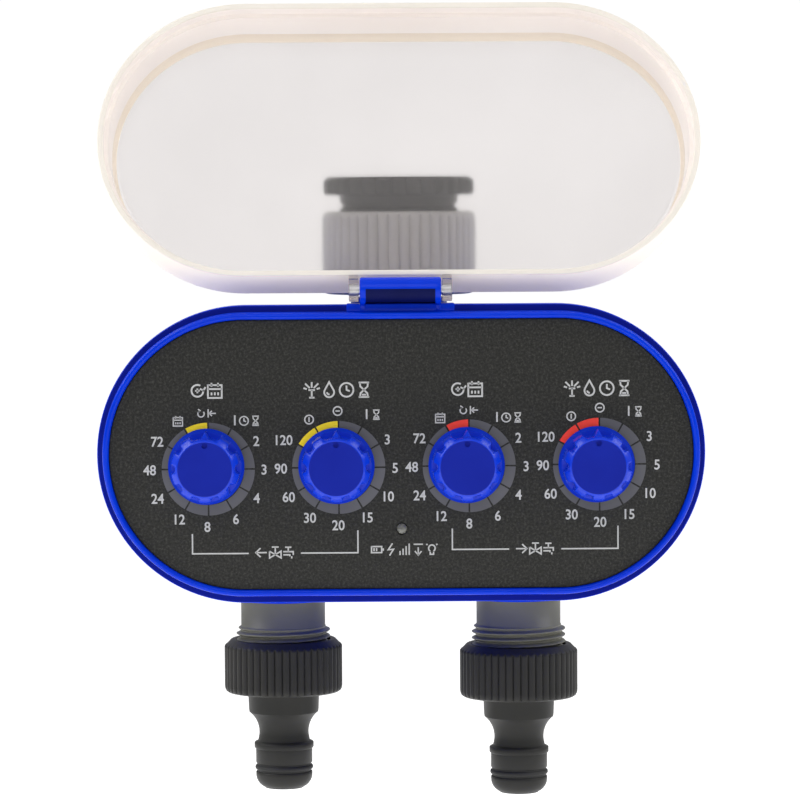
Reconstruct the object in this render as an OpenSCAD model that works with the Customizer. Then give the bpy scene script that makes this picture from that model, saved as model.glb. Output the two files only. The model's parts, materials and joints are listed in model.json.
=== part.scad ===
// Two-outlet drip irrigation timer: a stadium-shaped housing with four dials under
// a hinged tray lid, a swivel inlet on top and two threaded outlets underneath.
// Row frame: origin at the centre of the inlet mouth, +Z up, -Y out of the dials.
// "Facing" frame, used inside the housing: x right, y up, z forward, origin at the
// housing's centre on the plane of the pipe axes.

/* [Housing] */
// Width of the housing's front flange
housing_w = 162; // [158:1:176]
// Height of the housing's front flange
housing_h = 80; // [79:1:82]
// Distance from the pipe axes forward to the flange's front face
flange_z = 53; // [53:1:56]
// Distance from the pipe axes back to the rear face
back_z = 23; // [23:1:28]
// Wall thickness of the two shells
wall = 2.2; // [1.8:0.1:2.6]
// Height of the lip that stands round the control panel
lip_rise = 3.5; // [3:0.5:3.5]

/* [Lid] */
// Depth of the tray lid
lid_depth = 17.7; // [17.5:0.1:18]
// Wall thickness of the tray lid
lid_wall = 2.4; // [2:0.1:2.5]
// Angle from closed to fully open, where the lid leans on the inlet
lid_open = 202; // [195:1:202]

/* [Dials] */
// Distance between neighbouring dials
dial_pitch = 34.8; // [33:0.2:35]
// Height of the dial row above the housing's centre
dial_y = -3; // [-5:0.5:0]
// Height of a knob above the panel
knob_rise = 11.6; // [10:0.2:11.6]
// Flutes round a knob
knob_flutes = 10; // [8:1:12]

/* [Water way] */
// Height of the inlet mouth above the housing's centre
inlet_rise = 74; // [74:1:80]
// Distance from the centre line to an outlet's axis
outlet_x = 33.2; // [33:0.1:34]
// Extra drop of the right adapter, one turn of its thread
right_drop = 1.8; // [0:0.1:2]
// Outer radius of the outlet pipes
pipe_r = 11.85; // [11.5:0.05:12]

/* [Drive] */
// Teeth of the gear on each valve stem
gear_teeth = 33; // [33]
// Teeth of each motor's pinion
pinion_teeth = 11; // [11]
// Gear module
gear_module = 1; // [1]

/* [Hidden] */
$fn = 64;
slack = 0.3;                       // gap between faces that move past each other
running = 0.05;                    // radial clearance of a shaft in its bearing
end_r = housing_h / 2;             // radius of the stadium's round ends
spine = (housing_w - housing_h) / 2;
lip_z = flange_z + lip_rise;
panel_z = lip_z - 1.2;             // front face of the control panel
panel_t = 1.5;
front_wall_z = panel_z - panel_t;  // front face of the shell's wall under the panel
lip_r = 37.9;
lip_spine = spine + 0.9;           // the lip and panel are a little longer for their height
lid_spine = spine + 1;
lid_r = end_r - 0.4;
lip_w = 1.7;
skirt_r = 38.2;                    // shell radius just behind the flange
seam_r = 37.7;                     // shell radius at the seam between the shells
rear_r = 37.2;
rear_wall = 3.2;
hinge_y = end_r + 3.9;
barrel_r = 3.4;
barrel_w = 21.8;
hinge_pin_r = 1.25;
lug_t = 2.6;
screw_spots = [[63, 23.5], [24, 32.8], [57, -28]];
board_z = 40;                      // back face of the circuit board
board_t = 1.6;
post_spots = [[66, 12], [26, -20]];
plate_z = 20;                      // back face of the drive plate
plate_t = 2;
plate_spots = [[60, 14], [60, -14]];
chamber_r = 15;
chamber_bore = 11.5;
cross_y = 21;                      // height of the cross tube
ball_r = 9;
ball_bore = 5.5;
stem_r = 3.5;
stem_boss_r = 8;
gear_pitch_r = gear_module * gear_teeth / 2;
pinion_pitch_r = gear_module * pinion_teeth / 2;
motor_x = outlet_x + gear_pitch_r + pinion_pitch_r;
motor_shaft_r = 1.5;
collar_r = 13.5;                   // shell collar round each outlet pipe
thread_top = -51.9;                // outlet thread, G3/4
thread_end = -66.3;
thread_root = 12.06;
thread_crest = 13.22;
nipple_r = 7.95;
inlet_thread_r = 12.06;            // minor radius of the inlet's G3/4 thread
nut_r = 21.4;
nut_low = 41.5;
nut_high = 64.5;
tray_w = 36.8;
tray_h = 48.8;
tray_floor = -9;
seal_back = 1.3 - back_z;          // back face of the battery door's seal
door_low = -30.5;
door_high = 27;
door_half = 22;
cell_r = 5.25;
shell_blue = [0.04, 0.16, 0.72];
dark_grey = [0.19, 0.19, 0.19];
pipe_grey = [0.32, 0.33, 0.33];
fitting_black = [0.17, 0.17, 0.16];
milky = [0.92, 0.9, 0.9, 0.6];
seal_black = [0.08, 0.08, 0.08];
steel = [0.75, 0.76, 0.78];
brass = [0.8, 0.65, 0.3];

// ---------- frames and helpers ----------

// Upright pipework: origin at the housing's centre, z up
module upright() {
    translate([0, 0, -inlet_rise]) children();
}

// The housing's facing frame
module facing() {
    upright() rotate([90, 0, 0]) children();
}

// Children for a side: -1 is the left, 1 the right
module on_side(side) {
    if (side < 0) mirror([1, 0, 0]) children();
    else children();
}

module both_sides() {
    for (side = [-1, 1]) on_side(side) children();
}

// Points of an arc
function arc(cx, cy, r, from, to, steps = 6) =
    [for (i = [0 : steps]) let (a = from + (to - from) * i / steps) [cx + r * cos(a), cy + r * sin(a)]];

// Sweeps an outline of [distance from the spine, depth] round the stadium
module stadium(outline, half = spine) {
    both_sides() translate([half, 0, 0]) rotate([0, 0, -90]) rotate_extrude(angle = 180) polygon(outline);
    for (flip = [0, 1])
        mirror([0, flip, 0]) translate([-half, 0, 0]) rotate([90, 0, 90])
            linear_extrude(2 * half) polygon(outline);
}

module stadium_plate(r, low, high, half = spine) {
    stadium([[0, low], [r, low], [r, high], [0, high]], half);
}

// Cylinder along the facing frame's z, between two depths
module rod(x, y, r, low, high) {
    translate([x, y, low]) cylinder(r = r, h = high - low);
}

// Cylinder along an upright axis, between two heights
module post(x, r, low, high) {
    translate([x, 0, low]) cylinder(r = r, h = high - low);
}

// Block centred on x and y, between two depths
module block(x, y, w, h, low, high) {
    translate([x - w / 2, y - h / 2, low]) cube([w, h, high - low]);
}

// Outline of an outside thread cut as separate rings
function ring_thread(root, crest, pitch, high, low) =
    [for (i = [0 : floor((high - low) / pitch) - 1]) let (z = high - i * pitch)
        each [[root, z], [crest, z - 0.4 * pitch], [crest, z - 0.6 * pitch], [root, z - pitch]]];

// Ribbed round outline
function ribbed(count, r, depth) =
    [for (i = [0 : count - 1], k = [0 : 3])
        let (a = 360 * (i + [0, 0.14, 0.5, 0.64][k]) / count, rr = k < 1 || k > 2 ? r - depth : r)
        [rr * cos(a), rr * sin(a)]];

// Spur gear outline with straight-flanked teeth, one of them centred on angle zero
function gear_outline(teeth, m) =
    let (pitch_r = m * teeth / 2, step = 360 / teeth)
    [for (i = [0 : teeth - 1], k = [0 : 3])
        let (half = [0.33, 0.13, -0.13, -0.33][k], high = k == 1 || k == 2,
             r = high ? pitch_r + 0.8 * m : pitch_r - 1.25 * m)
        [r * cos((i - half) * step), r * sin((i - half) * step)]];

// ---------- housing ----------

// Half of the collars that clamp the three pipes; front is 1 or -1
module collar_half(front) {
    intersection() {
        block(0, 0, housing_w, 120, front > 0 ? 0 : -20, front > 0 ? 20 : 0);
        union() {
            both_sides() translate([outlet_x, -34, 0]) rotate([90, 0, 0]) cylinder(r = collar_r, h = 10.5);
            translate([0, 34, 0]) rotate([-90, 0, 0]) cylinder(r = collar_r, h = 6.5);
        }
    }
}

// Cut-outs for the three pipes
module pipe_holes() {
    both_sides() translate([outlet_x, -30, 0]) rotate([90, 0, 0]) cylinder(r = pipe_r + 0.1, h = 20);
    translate([0, 30, 0]) rotate([-90, 0, 0]) cylinder(r = 11.1, h = 20);
}

module hinge_bracket() {
    difference() {
        union() {
            translate([-barrel_w / 2, hinge_y, flange_z]) rotate([0, 90, 0]) cylinder(r = barrel_r, h = barrel_w);
            block(0, (hinge_y + end_r - 2) / 2, barrel_w, hinge_y - end_r + 2, flange_z - barrel_r, flange_z - 0.2);
            block(0, end_r - 0.85, 29, 2.3, flange_z - 5, flange_z);
        }
        translate([-barrel_w, hinge_y, flange_z]) rotate([0, 90, 0]) cylinder(r = hinge_pin_r, h = 2 * barrel_w);
    }
}

module front_shell() {
    color(shell_blue) facing() difference() {
        union() {
            difference() {
                stadium([[0, 0], [seam_r, 0], [skirt_r, flange_z - 7.3], [end_r, flange_z - 5.5],
                    [end_r, flange_z - 0.6], [end_r - 0.6, flange_z], [0, flange_z]]);
                stadium([[0, -1], [seam_r - wall, -1], [skirt_r - wall, front_wall_z - wall],
                    [0, front_wall_z - wall]]);
            }
            stadium([[0, flange_z - 1], [lip_r, flange_z - 1], [lip_r, lip_z - 0.5],
                [lip_r - 0.5, lip_z], [lip_r - lip_w + 0.5, lip_z], [lip_r - lip_w, lip_z - 0.5],
                [lip_r - lip_w, front_wall_z], [0, front_wall_z]], lip_spine);
            both_sides() for (p = screw_spots) rod(p[0], p[1], 3, 0, flange_z - 1);
            both_sides() for (p = post_spots) rod(p[0], p[1], 3, board_z + board_t, flange_z - 1);
            collar_half(1);
            hinge_bracket();
        }
        pipe_holes();
        both_sides() for (p = screw_spots) rod(p[0], p[1], 1.1, -1, 14);
        both_sides() for (p = post_spots) rod(p[0], p[1], 0.9, board_z, flange_z - 3);
        for (i = [-1.5 : 1.5]) rod(i * dial_pitch, dial_y, 3.6, 40, lip_z);
        rod(0, -20, 1.65, 40, lip_z);
    }
}

module rear_shell() {
    color(shell_blue) facing() difference() {
        union() {
            difference() {
                stadium(concat([[0, -back_z]], arc(rear_r - 6, 6 - back_z, 6, -90, 0), [[seam_r, 0], [0, 0]]));
                stadium(concat([[0, rear_wall - back_z]],
                    arc(rear_r - wall - 4, rear_wall + 4 - back_z, 4, -90, 0), [[seam_r - wall, 1], [0, 1]]));
            }
            both_sides() for (p = screw_spots) rod(p[0], p[1], 3, 1 - back_z, 0);
            both_sides() for (p = plate_spots) rod(p[0], p[1], 3, 1 - back_z, plate_z);
            collar_half(-1);
            block(0, door_low + 3.5, 8, 5.6, 1 - back_z, 6 - back_z);
        }
        pipe_holes();
        both_sides() for (p = screw_spots) {
            rod(p[0], p[1], 1.6, -back_z, 1);
            rod(p[0], p[1], 2.9, -back_z - 1, 4 - back_z);
        }
        both_sides() for (p = plate_spots) rod(p[0], p[1], 0.9, plate_z - 9, plate_z + 1);
        block(0, 0, tray_w + 0.4, tray_h + 0.4, -back_z - 1, 0);
        block(0, (door_low + door_high) / 2, 2 * door_half + 2 * slack, door_high - door_low + 2 * slack,
            -back_z - 1, 2.1 - back_z);
        rod(0, door_low + 3.2, 1.7, -back_z - 1, 7 - back_z);
    }
}

module housing_gasket() {
    color(seal_black) facing() difference() {
        stadium([[34.0, -0.8], [35.3, -0.8], [35.3, 0.8], [34.0, 0.8]]);
        both_sides() translate([outlet_x, -30, 0]) rotate([90, 0, 0]) cylinder(r = collar_r + 0.1, h = 20);
        translate([0, 30, 0]) rotate([-90, 0, 0]) cylinder(r = collar_r + 0.1, h = 20);
        both_sides() for (p = screw_spots) rod(p[0], p[1], 3.2, -2, 2);
    }
}

module control_panel() {
    color(dark_grey) facing() difference() {
        stadium_plate(lip_r - lip_w - 0.1, front_wall_z, panel_z, lip_spine);
        for (i = [-1.5 : 1.5]) rod(i * dial_pitch, dial_y, 3.6, front_wall_z - 1, lip_z);
        rod(0, -20, 1.65, front_wall_z - 1, lip_z);
    }
}

module housing_screws() {
    color(steel) facing() both_sides() for (p = screw_spots) {
        rod(p[0], p[1], 1.1, 4 - back_z, 12);
        difference() {
            rod(p[0], p[1], 2.7, 1.6 - back_z, 4 - back_z);
            block(p[0], p[1], 3.4, 0.8, 1 - back_z, 2.8 - back_z);
            block(p[0], p[1], 0.8, 3.4, 1 - back_z, 2.8 - back_z);
        }
    }
}

// ---------- electronics ----------

module circuit_board() {
    color([0.1, 0.4, 0.2]) facing() difference() {
        stadium_plate(28.5, board_z, board_z + board_t);
        both_sides() for (p = post_spots) rod(p[0], p[1], 1.2, board_z - 1, board_z + 3);
        both_sides() for (p = [screw_spots[0], screw_spots[2]]) rod(p[0], p[1], 3.4, board_z - 1, board_z + 3);
    }
}

module board_components() {
    color(dark_grey) facing() {
        block(0, 6, 10, 10, board_z - 1.8, board_z);
        both_sides() rod(12, -12, 3.2, board_z - 8, board_z);
        both_sides() block(34, 14, 6, 4, board_z - 2.2, board_z);
        both_sides() block(50, 16, 8, 5, board_z - 5, board_z);
    }
}

module rotary_switches() {
    color([0.3, 0.32, 0.34]) facing() for (i = [-1.5 : 1.5]) difference() {
        union() {
            block(i * dial_pitch, dial_y, 12, 12, board_z + board_t, board_z + 6.6);
            rod(i * dial_pitch, dial_y, 3.4, board_z + 6, board_z + 8.6);
        }
        rod(i * dial_pitch, dial_y, 2 + running, board_z + 3, board_z + 10);
    }
}

module indicator_led() {
    color([0.7, 0.7, 0.68]) facing() {
        rod(0, -20, 1.5, board_z + 6, panel_z - 0.6);
        translate([0, -20, panel_z - 0.6]) intersection() {
            sphere(r = 1.5);
            cylinder(r = 2, h = 2);
        }
        rod(0, -20, 1.9, board_z + 5, board_z + 6);
        for (s = [-1, 1]) rod(s * 0.8, -20, 0.25, board_z + board_t, board_z + 5);
    }
}

module board_screws() {
    color(steel) facing() both_sides() for (p = post_spots) {
        rod(p[0], p[1], 0.9, board_z - 0.1, board_z + 8);
        rod(p[0], p[1], 2.2, board_z - 1.6, board_z);
    }
}

// ---------- battery compartment ----------

module battery_tray() {
    color(dark_grey) facing() difference() {
        union() {
            block(0, 0, tray_w, tray_h, 2.1 - back_z, tray_floor);
            block(0, 0, tray_w + 3, tray_h + 3, rear_wall - back_z, rear_wall + 1 - back_z);
        }
        block(0, 0, tray_w - 2, tray_h - 2, 0 - back_z, tray_floor - 1);
        block(0, -tray_h / 2 - 0.9, 8.6, 1.4, -back_z, 6 - back_z);
    }
}

module battery_contacts() {
    color(steel) facing() for (i = [-1 : 1]) {
        block(i * 11.3, tray_h / 2 - 1.25, 7, 0.5, tray_floor - 10, tray_floor - 2.5);
        for (k = [0 : 2])
            translate([i * 11.3, -tray_h / 2 + 1.4 + 0.5 * k, tray_floor - 1.15 - cell_r])
                rotate([90, 0, 0]) rotate_extrude() translate([3 - 0.5 * k, 0]) circle(r = 0.3, $fn = 16);
    }
}

module battery_cells() {
    color([0.2, 0.35, 0.25]) facing() for (i = [-1 : 1])
        translate([i * 11.3, -tray_h / 2 + 3.1, tray_floor - 1.15 - cell_r]) rotate([-90, 0, 0]) {
            cylinder(r = cell_r, h = 43);
            cylinder(r = 1.9, h = 43.9);
        }
}

module battery_door() {
    color(shell_blue) facing() difference() {
        block(0, (door_low + door_high) / 2, 2 * door_half, door_high - door_low, -back_z, 1.8 - back_z);
        rod(0, door_low + 3.2, 1.4, -back_z - 1, 3 - back_z);
        rod(0, door_low + 3.2, 2.6, -back_z - 1, 1 - back_z);
        for (k = [-2 : 2]) block(0, 12 + 2.4 * k, 20, 1.2, -back_z - 1, 0.5 - back_z);
        block(0, 0, tray_w + 2.8, tray_h + 2.8, seal_back, 3 - back_z);
    }
}

module battery_door_seal() {
    color(seal_black) facing() difference() {
        block(0, 0, tray_w + 2.6, tray_h + 2.6, seal_back, 2.1 - back_z);
        block(0, 0, tray_w + 0.4, tray_h + 0.4, -back_z, 3 - back_z);
    }
}

module battery_door_screw() {
    color(steel) facing() {
        rod(0, door_low + 3.2, 1.4, 1 - back_z, 6 - back_z);
        difference() {
            rod(0, door_low + 3.2, 2.5, -back_z, 1 - back_z);
            block(0, door_low + 3.2, 3.6, 0.8, -back_z - 1, 0.6 - back_z);
        }
    }
}

// ---------- water way ----------

module water_manifold() {
    color(pipe_grey) upright() difference() {
        union() {
            post(0, 8.9, cross_y, tray_h / 2 + 0.4);
            post(0, 11, tray_h / 2 + 0.3, 47);
            post(0, 14, 46.7, 50);
            both_sides() post(outlet_x, chamber_r, -18, 13);
            both_sides() post(outlet_x, 9, 12, cross_y);
            translate([-outlet_x, 0, cross_y]) rotate([0, 90, 0]) cylinder(r = 8.5, h = 2 * outlet_x);
            both_sides() translate([outlet_x, 0, cross_y]) sphere(r = 9);
            both_sides() translate([outlet_x, 0, 0]) rotate([90, 0, 0]) cylinder(r = stem_boss_r, h = plate_z);
        }
        post(0, 8, cross_y, 51);
        translate([-outlet_x, 0, cross_y]) rotate([0, 90, 0]) cylinder(r = 6.2, h = 2 * outlet_x);
        both_sides() post(outlet_x, 6.2, 0, cross_y);
        both_sides() post(outlet_x, chamber_bore, -19, 9.2);
        both_sides() translate([outlet_x, 0, 0]) rotate([90, 0, 0]) cylinder(r = stem_r + running, h = 30);
        both_sides() translate([outlet_x, -17.2, 0]) rotate([90, 0, 0]) cylinder(r = 6.2, h = 10);
    }
}

module outlet_pipe(side) {
    color(pipe_grey) upright() translate([side * outlet_x, 0, 0]) rotate_extrude() polygon(concat(
        [[6.2, -9.2], [chamber_bore, -9.2], [chamber_bore, -18], [pipe_r, -18]],
        [[pipe_r, thread_top]],
        ring_thread(thread_root, thread_crest, 1.8, thread_top, thread_end + 1),
        [[thread_root, thread_end], [8.5, thread_end], [8.5, -22], [6.2, -20]]));
}

module outlet_pipe_left() { outlet_pipe(-1); }
module outlet_pipe_right() { outlet_pipe(1); }

module ball_seats(side) {
    color([0.95, 0.95, 0.93]) upright() translate([side * outlet_x, 0, 0]) for (flip = [0, 1])
        mirror([0, 0, flip]) difference() {
            translate([0, 0, 5.4]) cylinder(r = chamber_bore, h = 3.8);
            translate([0, 0, 5]) cylinder(r = 6.2, h = 5);
            sphere(r = ball_r + slack);
        }
}

module ball_seats_left() { ball_seats(-1); }
module ball_seats_right() { ball_seats(1); }

// The ball's bore lies along x, across the flow, when the valve is shut
module valve_ball(side) {
    color(steel) facing() translate([side * outlet_x, 0, 0]) difference() {
        sphere(r = ball_r);
        translate([-10, 0, 0]) rotate([0, 90, 0]) cylinder(r = ball_bore, h = 20);
        translate([-5, -1.6, 7]) cube([10, 3.2, 5]);
    }
}

module valve_ball_left() { valve_ball(-1); }
module valve_ball_right() { valve_ball(1); }

module valve_stem(side) {
    color(brass) facing() translate([side * outlet_x, 0, 0]) {
        translate([-3, -1.5, 7.2]) cube([6, 3, 2.4]);
        cylinder_between(4.4, 9.4, 10.1);
        cylinder_between(stem_r, 10, 29);
    }
}

module cylinder_between(r, low, high) {
    translate([0, 0, low]) cylinder(r = r, h = high - low);
}

module valve_stem_left() { valve_stem(-1); }
module valve_stem_right() { valve_stem(1); }

module stem_seals() {
    color(seal_black) facing() both_sides() difference() {
        rod(outlet_x, 0, 6.2, 17.2, 19.6);
        rod(outlet_x, 0, stem_r + running, 16, 21);
    }
}

// ---------- drive ----------

module drive_plate() {
    color([0.25, 0.27, 0.3]) facing() difference() {
        stadium_plate(26, plate_z, plate_z + plate_t);
        both_sides() rod(outlet_x, 0, 6.2, plate_z - 1, plate_z + 3);
        both_sides() rod(motor_x, 0, 3.2, plate_z - 1, plate_z + 3);
        both_sides() for (p = plate_spots) rod(p[0], p[1], 1.2, plate_z - 1, plate_z + 3);
        both_sides() rod(screw_spots[0][0], screw_spots[0][1], 3.4, plate_z - 1, plate_z + 3);
        both_sides() rod(screw_spots[2][0], screw_spots[2][1], 3.4, plate_z - 1, plate_z + 3);
    }
}

module drive_plate_screws() {
    color(steel) facing() both_sides() for (p = plate_spots) {
        rod(p[0], p[1], 0.9, plate_z - 7, plate_z + plate_t);
        rod(p[0], p[1], 2.2, plate_z + plate_t, plate_z + plate_t + 1.5);
    }
}

module drive_gear(side) {
    color([0.9, 0.9, 0.86]) facing() on_side(side) translate([outlet_x, 0, 23]) difference() {
        union() {
            linear_extrude(4) polygon(gear_outline(gear_teeth, gear_module));
            cylinder(r = 6, h = 5.5);
        }
        translate([0, 0, -1]) cylinder(r = stem_r, h = 8);
    }
}

module drive_gear_left() { drive_gear(-1); }
module drive_gear_right() { drive_gear(1); }

module gear_motor(side) {
    color(steel) facing() on_side(side) difference() {
        union() {
            block(motor_x, 0, 12, 10, 8, plate_z);
            rod(motor_x, 0, 5, -8, 8);
            rod(motor_x, 0, 3.2, plate_z, plate_z + 1);
        }
        rod(motor_x, 0, motor_shaft_r + running, 14, 23);
    }
}

module gear_motor_left() { gear_motor(-1); }
module gear_motor_right() { gear_motor(1); }

// A gap of the pinion faces the gear's first tooth
module motor_pinion(side) {
    color(brass) facing() on_side(side) translate([motor_x, 0, 0]) {
        cylinder_between(motor_shaft_r, 15, 29);
        difference() {
            translate([0, 0, 22.6]) rotate([0, 0, 180 + 180 / pinion_teeth])
                linear_extrude(5) polygon(gear_outline(pinion_teeth, gear_module));
            cylinder_between(motor_shaft_r, 22, 29);
        }
    }
}

module motor_pinion_left() { motor_pinion(-1); }
module motor_pinion_right() { motor_pinion(1); }

// ---------- inlet ----------

module swivel_nut() {
    color(pipe_grey) upright() difference() {
        union() {
            post(0, nut_r - 0.9, nut_low, nut_high);
            translate([0, 0, nut_low + 0.8]) linear_extrude(nut_high - nut_low - 1.6)
                polygon(ribbed(44, nut_r, 1));
        }
        post(0, 11 + running, nut_low - 1, nut_high);
        post(0, 14 + slack, 46.4, nut_high);
        post(0, 16.9, 51.9, nut_high + 1);
    }
}

module swivel_washer() {
    color(seal_black) upright() difference() {
        post(0, 14, 50, 52);
        post(0, 8, 49, 53);
    }
}

module inlet_reducer() {
    color(fitting_black) upright() difference() {
        union() {
            rotate_extrude() polygon(concat(
                [[0, 70], [16.4, 70]],
                ring_thread(15.4, 16.6, 2.3, 67, 53),
                [[15.4, 52], [0, 52]]));
            translate([0, 0, 69.1]) linear_extrude(4.3) polygon(ribbed(30, 21, 0.9));
            post(0, 20, 69.1, inlet_rise);
        }
        post(0, 8.5, 51, 61);
        post(0, 12.4, 60, 62);
        post(0, inlet_thread_r, 61, inlet_rise + 1);
    }
}

module inlet_washer() {
    color(seal_black) upright() difference() {
        post(0, 12.3, 60, 62);
        post(0, 8.5, 59, 63);
    }
}

module inlet_filter() {
    color(steel) upright() difference() {
        union() {
            post(0, 8.5, 58.5, 60);
            post(0, 7, 57.7, 58.6);
        }
        for (ring = [0 : 2], k = [0 : 5 * ring])
            rotate([0, 0, ring > 0 ? 360 * k / (5 * ring + 1) : 0])
                translate([2.4 * ring, 0, 50]) cylinder(r = 0.8, h = 12);
    }
}

// ---------- outlets ----------

module outlet_adapter(side) {
    drop = side > 0 ? right_drop : 0;
    color(fitting_black) upright() translate([side * outlet_x, 0, -drop]) difference() {
        union() {
            rotate_extrude() polygon(concat(
                [[0, -55.6], [14.6, -55.6], [16, -57], [16, -69.4], [14.8, -70.6], [10.1, -70.6], [10.1, -75.7]],
                arc(14.2, -82, 7.25, 120, 188, 6),
                [[7, -84.6], [8.35, -85], [8.35, -86.5], [nipple_r, -86.7], [nipple_r, -90.8],
                    [6.9, -90.8], [6.9, -93.2], [nipple_r, -93.2]],
                arc(nipple_r - 4, -93.8, 4, 0, -80, 5),
                [[0, -97.8]]));
            translate([0, 0, -69.4]) linear_extrude(12.4) polygon(ribbed(44, 16.6, 0.8));
        }
        post(0, 13.32, -68.1, -50);
        post(0, 5, -100, -60);
    }
}

module outlet_adapter_left() { outlet_adapter(-1); }
module outlet_adapter_right() { outlet_adapter(1); }

module outlet_washers() {
    color(seal_black) upright() for (side = [-1, 1]) difference() {
        post(side * outlet_x, 12.8, -68.1 - (side > 0 ? right_drop : 0), thread_end - (side > 0 ? right_drop : 0));
        post(side * outlet_x, 7, -75, -60);
    }
}

module nipple_seals() {
    color(seal_black) upright() for (side = [-1, 1])
        translate([side * outlet_x, 0, -92 - (side > 0 ? right_drop : 0)]) rotate_extrude() polygon(
            concat([[6.9, 1.15], [6.9, -1.15], [7.6, -1.15]], arc(7.4, 0, 0.78, -70, 70, 5), [[7.6, 1.15]]));
}

// ---------- lid ----------

// Turns children about the hinge axis, from closed to the given angle
module swung(angle) {
    translate([0, hinge_y, flange_z]) rotate([-angle, 0, 0]) translate([0, -hinge_y, -flange_z]) children();
}

module lid_lug() {
    rotate([90, 0, 90]) linear_extrude(lug_t) difference() {
        union() {
            translate([hinge_y, flange_z]) circle(r = 3.1);
            polygon([[end_r - 1.2, flange_z + slack], [end_r - 1.2, flange_z + 8],
                [hinge_y + 2, flange_z + 2.37], [hinge_y, flange_z], [hinge_y - 2.6, flange_z + slack]]);
        }
        translate([hinge_y, flange_z]) circle(r = hinge_pin_r + running);
    }
}

module lid() {
    rim = flange_z + slack;
    top = rim + lid_depth;
    color(milky) facing() swung(lid_open) {
        difference() {
            stadium(concat([[0, rim], [lid_r, rim]], arc(lid_r - 4.4, top - 3.5, 3.5, 4, 90), [[0, top]]), lid_spine);
            stadium(concat([[0, rim - 1], [lid_r - 1.4, rim - 1], [lid_r - 1.4, rim + 3.8],
                [lid_r - 0.3 - lid_wall, rim + 3.8]],
                arc(lid_r - 3.7 - lid_wall, top - 5, 2.8, 4, 90), [[0, top - 2.2]]), lid_spine);
        }
        for (x = [barrel_w / 2 + slack, -barrel_w / 2 - slack - lug_t]) translate([x, 0, 0]) lid_lug();
    }
}

module hinge_pin() {
    color(steel) facing() translate([-13.5, hinge_y, flange_z]) rotate([0, 90, 0])
        cylinder(r = hinge_pin_r, h = 27);
}

// ---------- dials ----------

module knob(place) {
    color([0.1, 0.2, 0.75]) facing()
    translate([(place - 2.5) * dial_pitch, dial_y, panel_z + 0.4]) difference() {
        union() {
            difference() {
                rotate_extrude() polygon([[0, 0], [10.2, 0], [10.2, 1], [9.9, 1.4], [9.4, 1.6],
                    [9.1, knob_rise - 2.6], [7.6, knob_rise - 0.3], [7.3, knob_rise], [0, knob_rise]]);
                for (k = [0 : knob_flutes - 1]) rotate([0, 0, 360 * k / knob_flutes])
                    translate([10, 0, 1.6]) cylinder(r = 1.9, h = knob_rise);
            }
            translate([0, 0, 1]) linear_extrude(knob_rise - 2.2) polygon([[-2, 6.6], [2, 6.6], [0, 10]]);
        }
        difference() {
            cylinder_between(7.9, -1, knob_rise - 3.2);
            cylinder_between(4.6, -2, knob_rise);
        }
        cylinder_between(3, -1, knob_rise - 3.2);
        translate([0, 6.3, knob_rise - 0.8]) cylinder(r = 0.6, h = 2);
    }
}

module knob_1() { knob(1); }
module knob_2() { knob(2); }
module knob_3() { knob(3); }
module knob_4() { knob(4); }

module dial_shaft(place) {
    color(steel) facing() translate([(place - 2.5) * dial_pitch, dial_y, 0]) {
        cylinder_between(2, board_z + 3.4, board_z + 9);
        cylinder_between(3, board_z + 9, panel_z + 0.4 + knob_rise - 3.2);
    }
}

module dial_shaft_1() { dial_shaft(1); }
module dial_shaft_2() { dial_shaft(2); }
module dial_shaft_3() { dial_shaft(3); }
module dial_shaft_4() { dial_shaft(4); }

front_shell();
rear_shell();
housing_gasket();
control_panel();
circuit_board();
board_components();
rotary_switches();
indicator_led();
housing_screws();
board_screws();
drive_plate();
drive_plate_screws();
battery_tray();
battery_contacts();
battery_cells();
battery_door();
battery_door_seal();
battery_door_screw();
water_manifold();
outlet_pipe_left();
outlet_pipe_right();
ball_seats_left();
ball_seats_right();
valve_ball_left();
valve_ball_right();
valve_stem_left();
valve_stem_right();
stem_seals();
drive_gear_left();
drive_gear_right();
gear_motor_left();
gear_motor_right();
motor_pinion_left();
motor_pinion_right();
swivel_nut();
swivel_washer();
inlet_reducer();
inlet_washer();
inlet_filter();
outlet_adapter_left();
outlet_adapter_right();
outlet_washers();
nipple_seals();
lid();
hinge_pin();
knob_1();
knob_2();
knob_3();
knob_4();
dial_shaft_1();
dial_shaft_2();
dial_shaft_3();
dial_shaft_4();
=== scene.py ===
"""Looks of the two-outlet drip irrigation timer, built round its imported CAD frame.

Pieces of the housing are drawn in a "facing" frame, in millimetres: x to the right, up from the
housing's centre, and out towards the viewer from the plane of the pipe axes.
"""

import json
import math

import bmesh
import bpy
from mathutils import Matrix, Vector


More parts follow.
